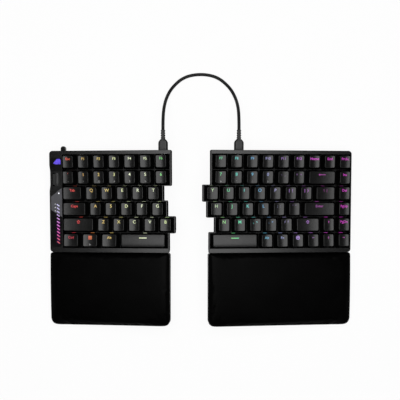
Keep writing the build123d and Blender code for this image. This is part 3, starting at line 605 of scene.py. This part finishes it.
# Keys whose lamp hardly reaches their mark
dim_words = ["-  _", "=  +", "back", ";  :", "'  \"", "Enter", "\\  |", "up", "left", "down", "right"]
bright_words = ["ring", "dash"]
left_marks = [[], ["~", "!", "@", "#", "$", "%", "^"], [], [], [], ["", "fx"]]
right_marks = [[], ["&", "*", "(", ")"], [], [], [], []]
own_bodies = {
    ("left", 5, 3): "space_left",
    ("right", 5, 0): "space_right",
    ("right", 3, 6): "enter",
    ("right", 1, 6): "backspace",
}


def deck(origin, turn):
    return (
        Matrix.Translation(origin)
        @ Matrix.Rotation(turn, 4, "Y")
        @ Matrix.Rotation(typing_angle, 4, "X")
    )


left_deck = deck(left_deck_origin, -tent_angle)
right_deck = deck(right_deck_origin, tent_angle)


def curve_mesh(curve):
    """The flat filled mesh of a text or outline curve, as a bmesh in millimetre-scaled units."""
    holder = bpy.data.objects.new("glyph", curve)
    scene.collection.objects.link(holder)
    bpy.context.view_layer.update()
    mesh = bpy.data.meshes.new_from_object(holder)
    made = bmesh.new()
    made.from_mesh(mesh)
    bpy.data.objects.remove(holder)
    bpy.data.meshes.remove(mesh)
    return made


def lettering(text, size):
    curve = bpy.data.curves.new("glyph", "FONT")
    curve.body = text
    curve.size = size
    curve.align_x = "CENTER"
    curve.align_y = "CENTER"
    curve.offset = bold_share * size
    curve.extrude = legend_thickness / 2
    curve.resolution_u = 4
    return curve_mesh(curve)


def outlined(loops, size):
    """A symbol from closed loops of points, given as shares of its size."""
    curve = bpy.data.curves.new("glyph", "CURVE")
    curve.dimensions = "2D"
    curve.fill_mode = "BOTH"
    curve.extrude = legend_thickness / 2
    for loop in loops:
        spline = curve.splines.new("POLY")
        spline.points.add(len(loop) - 1)
        for point, (x, y) in zip(spline.points, loop):
            point.co = (x * size, y * size, 0, 1)
        spline.use_cyclic_u = True
    return curve_mesh(curve)


def rectangle(x, y, width, height):
    return [
        (x - width / 2, y - height / 2),
        (x + width / 2, y - height / 2),
        (x + width / 2, y + height / 2),
        (x - width / 2, y + height / 2),
    ]


def circle(radius, count=28):
    turns = [2 * math.pi * i / count for i in range(count)]
    return [(radius * math.cos(t), radius * math.sin(t)) for t in turns]


def turned(loop, degrees):
    c, s = math.cos(math.radians(degrees)), math.sin(math.radians(degrees))
    return [(x * c - y * s, x * s + y * c) for x, y in loop]


arrow_head = [(-0.5, 0.0), (-0.1, 0.4), (-0.1, 0.11), (0.5, 0.11), (0.5, -0.11), (-0.1, -0.11), (-0.1, -0.4)]
house_outer = [(0, 0.55), (0.55, 0.0), (0.26, 0.0), (0.26, -0.45), (-0.26, -0.45), (-0.26, 0.0), (-0.55, 0.0)]
house_inner_share = 0.62
arrow_end = 0.5
long_arrow_share = 2.4
long_arrow_shift = 0.5
menu_size = 4.4 * mm
ring_size = 4.6 * mm
ring_radii = (0.5, 0.36, 0.17)
shift_size = 4.0 * mm
back_size = 3.6 * mm
arrow_size = 2.8 * mm
dash_length = 9.2
dash_width = 0.6


def symbol(name):
    """The generic symbols that stand on keys in place of a word."""
    if name == "dash":
        return outlined([rectangle(0, 0, dash_length, dash_width)], mm)
    if name == "menu":
        return outlined([rectangle(0, y, 1.0, 0.2) for y in (-0.36, 0, 0.36)], menu_size)
    if name == "ring":
        return outlined([circle(radius) for radius in ring_radii], ring_size)
    if name == "shift":
        inner = [(x * house_inner_share, y * house_inner_share) for x, y in house_outer]
        return outlined([house_outer, inner], shift_size)
    if name == "back":
        long_arrow = []
        for x, y in arrow_head:
            shift = 0 if abs(x) == arrow_end else long_arrow_shift
            long_arrow.append((x * long_arrow_share - shift, y))
        return outlined([long_arrow], back_size)
    turns = {"left": 0, "up": -90, "right": 180, "down": 90}
    return outlined([turned(arrow_head, turns[name])], arrow_size)


symbols = ["dash", "menu", "ring", "shift", "back", "left", "up", "right", "down"]


def legend_shape(word):
    if word in symbols:
        return symbol(word)
    return lettering(word, letter_size if len(word) == 1 else word_size)


surfaces = {}


def surface_of(body):
    if body not in surfaces:
        mesh = nodes[body].data
        places = [v.co.copy() for v in mesh.vertices]
        surfaces[body] = BVHTree.FromPolygons(places, [tuple(p.vertices) for p in mesh.polygons])
    return surfaces[body]


def laid(shape, body, deck_frame, x, y):
    """Puts a flat shape on the cap under a place of the deck, following its dish."""
    up = (deck_frame.to_3x3() @ Vector((0, 0, 1))).normalized()
    tree = surface_of(body)
    bmesh.ops.triangulate(shape, faces=shape.faces)
    long_edges = [e for e in shape.edges if e.calc_length() > legend_edge]
    bmesh.ops.subdivide_edges(shape, edges=long_edges, cuts=2)
    for vertex in shape.verts:
        above = deck_frame @ Vector((x + vertex.co.x, y + vertex.co.y, ray_start))
        hit = tree.ray_cast(above, -up)[0]
        if hit is None:
            raise ValueError(f"a legend runs off its cap on {body}")
        vertex.co = hit + up * (legend_lift + vertex.co.z)
    return shape


def merged(shapes):
    whole = bmesh.new()
    for shape in shapes:
        part = bpy.data.meshes.new("part")
        shape.to_mesh(part)
        shape.free()
        whole.from_mesh(part)
        bpy.data.meshes.remove(part)
    return whole


def lamp_of(word):
    if word in dim_words:
        return "dim"
    return "bright" if word in bright_words else "lit"


def label_half(side, rows, starts, words, marks, deck_frame, lights):
    made = {}
    for row in range(row_count):
        x = starts[row] * pitch
        y = (row_count - row - 0.5) * pitch
        for i, share in enumerate(rows[row]):
            body = own_bodies.get((side, row, i), f"{side}_{row_names[row]}_row_keys")
            middle = x + share * pitch / 2
            word = words[row][i]
            shape = laid(legend_shape(word), body, deck_frame, middle, y + legend_back)
            made.setdefault((body, lamp_of(word)), []).append(shape)
            mark = marks[row][i] if i < len(marks[row]) else ""
            if mark:
                shape = laid(lettering(mark, mark_size), body, deck_frame, middle, y - mark_front)
                made.setdefault((body, "printed"), []).append(shape)
            x += share * pitch
    for (body, kind), shapes in made.items():
        piece = mesh_object(f"{body}_{kind}_legends", merged(shapes))
        piece.data.materials.append(lights[kind])
        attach(piece, body)


label_half("left", left_rows, left_starts, left_words, left_marks, left_deck, left_lights)
label_half("right", right_rows, right_starts, right_words, right_marks, right_deck, right_lights)


# Wrist rests
pore_size = 0.9 * mm
pore_relief = 0.03 * mm
skin_grain = 0.35 * mm
skin_relief = 0.01 * mm
skin_tone_size = 30 * mm
rest_voxel = 2.0 * mm
rest_swell_cap = 1.4 * mm
rest_pressure = 4.0
rest_frames = 20
rest_held_height = 3.0 * mm
upright_limit = 0.5


def rest_finish():
    """Soft black cushion skin: fine pores and a dull sheen."""
    finish = Finish("rest_cushion", Specular_IOR_Level=0.02)
    pores = finish.cells(pore_size)
    fine = finish.noise(skin_grain, 3.0)
    slow = finish.noise(skin_tone_size, 2.0)
    finish.colour(finish.spread(slow, 0, 1), 1, 3)
    finish.rough(fine, 0.3, 0.38)
    finish.bump(pores, pore_relief, 0.6)
    finish.bump(fine, skin_relief)
    return finish.material


def applied(obj):
    """Leaves the object with the mesh that its modifiers make, and with no modifiers."""
    made = obj.evaluated_get(bpy.context.evaluated_depsgraph_get())
    mesh = bpy.data.meshes.new_from_object(made)
    obj.modifiers.clear()
    obj.data = mesh


def remeshed(obj, size):
    remesh = obj.modifiers.new("remesh", "REMESH")
    remesh.mode = "VOXEL"
    remesh.voxel_size = size
    even = obj.modifiers.new("even", "SMOOTH")
    even.iterations = 2
    applied(obj)


def swollen(obj):
    """Fills the cushion by cloth simulation, held along its lower edge."""
    floor = min(v.co.z for v in obj.data.vertices)
    held = obj.vertex_groups.new(name="held")
    held.add([v.index for v in obj.data.vertices if v.co.z < floor + rest_held_height], 1.0, "REPLACE")
    cloth = obj.modifiers.new("cloth", "CLOTH")
    cloth.settings.use_pressure = True
    cloth.settings.uniform_pressure_force = rest_pressure
    cloth.settings.effector_weights.gravity = 0
    cloth.settings.vertex_group_mass = "held"
    for number in range(1, rest_frames + 1):
        scene.frame_set(number)
    applied(obj)
    scene.frame_set(1)


def fitted(obj, solid, before):
    """Caps how far the cushion has swollen, and keeps its sides in the solid that it stands for."""
    tree = BVHTree.FromPolygons([v.co for v in solid.vertices], [tuple(p.vertices) for p in solid.polygons])
    for vertex, start in zip(obj.data.vertices, before):
        moved = vertex.co - start
        if moved.length > rest_swell_cap:
            vertex.co = start + moved.normalized() * rest_swell_cap
        place, normal, _, _ = tree.find_nearest(vertex.co)
        if abs(normal.z) < upright_limit:
            vertex.co = place


def make_rest(side, finish):
    source = nodes[f"{side}_rest_cushion"]
    cushion = mesh_object(f"{side}_rest_pad", source.data.copy())
    remeshed(cushion, rest_voxel)
    before = [v.co.copy() for v in cushion.data.vertices]
    swollen(cushion)
    fitted(cushion, source.data, before)
    smooth(cushion)
    dressed(cushion, finish)
    soft = cushion.modifiers.new("soft", "SUBSURF")
    soft.levels = 1
    soft.render_levels = 1
    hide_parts(f"{side}_rest_cushion")
    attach(cushion, f"{side}_rest")
    return cushion


rest_material = rest_finish()
for half_name in ("left", "right"):
    make_rest(half_name, rest_material)


# Backdrop, world and lamp
floor_radius = 3.2
wall_radius = 4.0
wall_height = 3.0
cove_steps = 8
backdrop_sides = 64
backdrop_glow = 0.92
paper_tone_size = 60 * mm
world_strength = 0.1
lamp_place = (0.0, 0.12, 1.1)
lamp_size = (0.97, 1.0)
lamp_power = 12.2


def backdrop_finish():
    """Pale paper that the camera, metal and glass see as white, and that keeps the object's shadow."""
    finish = Finish("backdrop", Roughness=0.9)
    finish.colour(finish.spread(finish.noise(paper_tone_size, 2.0), 0, 1), 250, 254)
    path = finish.tree.nodes.new("ShaderNodeLightPath").outputs
    seen = finish.maths("MAXIMUM", path["Is Camera Ray"], path["Is Glossy Ray"])
    seen = finish.maths("MAXIMUM", seen, path["Is Transmission Ray"])
    glow = finish.tree.nodes.new("ShaderNodeEmission")
    mix = finish.tree.nodes.new("ShaderNodeMixShader")
    finish.feed(mix.inputs[0], finish.maths("MULTIPLY", seen, backdrop_glow))
    finish.feed(mix.inputs[1], finish.shader.outputs[0])
    finish.feed(mix.inputs[2], glow.outputs[0])
    finish.feed(finish.tree.nodes["Material Output"].inputs["Surface"], mix.outputs[0])
    return finish.material


def make_backdrop():
    """A round floor that curves up into a wall, open at the top."""
    cove = wall_radius - floor_radius
    turns = [math.pi / 2 * i / cove_steps for i in range(cove_steps + 1)]
    profile = [(floor_radius + cove * math.sin(t), cove * (1 - math.cos(t))) for t in turns]
    profile.append((wall_radius, wall_height))
    made = bmesh.new()
    rings = []
    for radius, z in profile:
        around = [2 * math.pi * k / backdrop_sides for k in range(backdrop_sides)]
        rings.append([made.verts.new((radius * math.cos(t), radius * math.sin(t), z)) for t in around])
    made.faces.new(rings[0])
    for inner, outer in zip(rings, rings[1:]):
        for k in range(backdrop_sides):
            after = (k + 1) % backdrop_sides
            made.faces.new((inner[k], outer[k], outer[after], inner[after]))
    backdrop = mesh_object("backdrop", made)
    smooth(backdrop)
    dressed(backdrop, backdrop_finish())


def make_world():
    world = bpy.data.worlds.new("studio")
    world.use_nodes = True
    fill = world.node_tree.nodes["Background"].inputs
    fill["Color"].default_value = (1, 1, 1, 1)
    fill["Strength"].default_value = world_strength
    scene.world = world


def make_lamp():
    lamp = bpy.data.lights.new("softbox", "AREA")
    lamp.shape = "RECTANGLE"
    lamp.size, lamp.size_y = lamp_size
    lamp.energy = lamp_power
    softbox = bpy.data.objects.new("softbox", lamp)
    softbox.location = lamp_place
    scene.collection.objects.link(softbox)


make_backdrop()
make_world()
make_lamp()

scene.view_settings.view_transform = "Standard"
